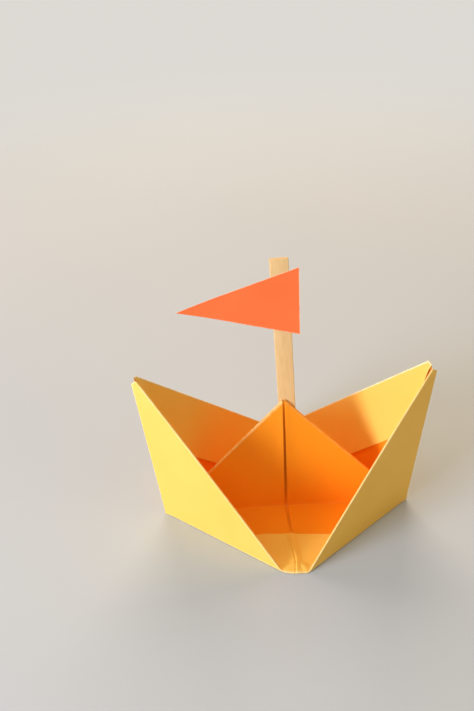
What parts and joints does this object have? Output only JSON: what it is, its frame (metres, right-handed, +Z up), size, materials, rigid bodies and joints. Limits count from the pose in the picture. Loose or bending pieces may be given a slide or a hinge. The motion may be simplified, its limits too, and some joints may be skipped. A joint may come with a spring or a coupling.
{
  "type": "folded paper sailboat",
  "caption": "Small boat folded from a sheet of paper, with a raised peak between its two holds, a flat wooden mast glued behind the peak and a triangular paper flag.",
  "frame": {"origin": "on the ground, under the middle of the overall box", "axes": "+X along the keel line from one raised tip to the other, -Y towards the blunt near corner, +Z up"},
  "size_m": [0.1274, 0.0989, 0.1179],
  "materials": {
    "hull_paper": "matt craft paper, mango yellow outside and orange inside",
    "mast_wood": "bare pale wood",
    "flag_paper": "matt orange-red craft paper"
  },
  "bodies": {
    "root": {"hull": "hull_paper", "mast": "mast_wood", "flag": "flag_paper"}
  },
  "joints": []
}
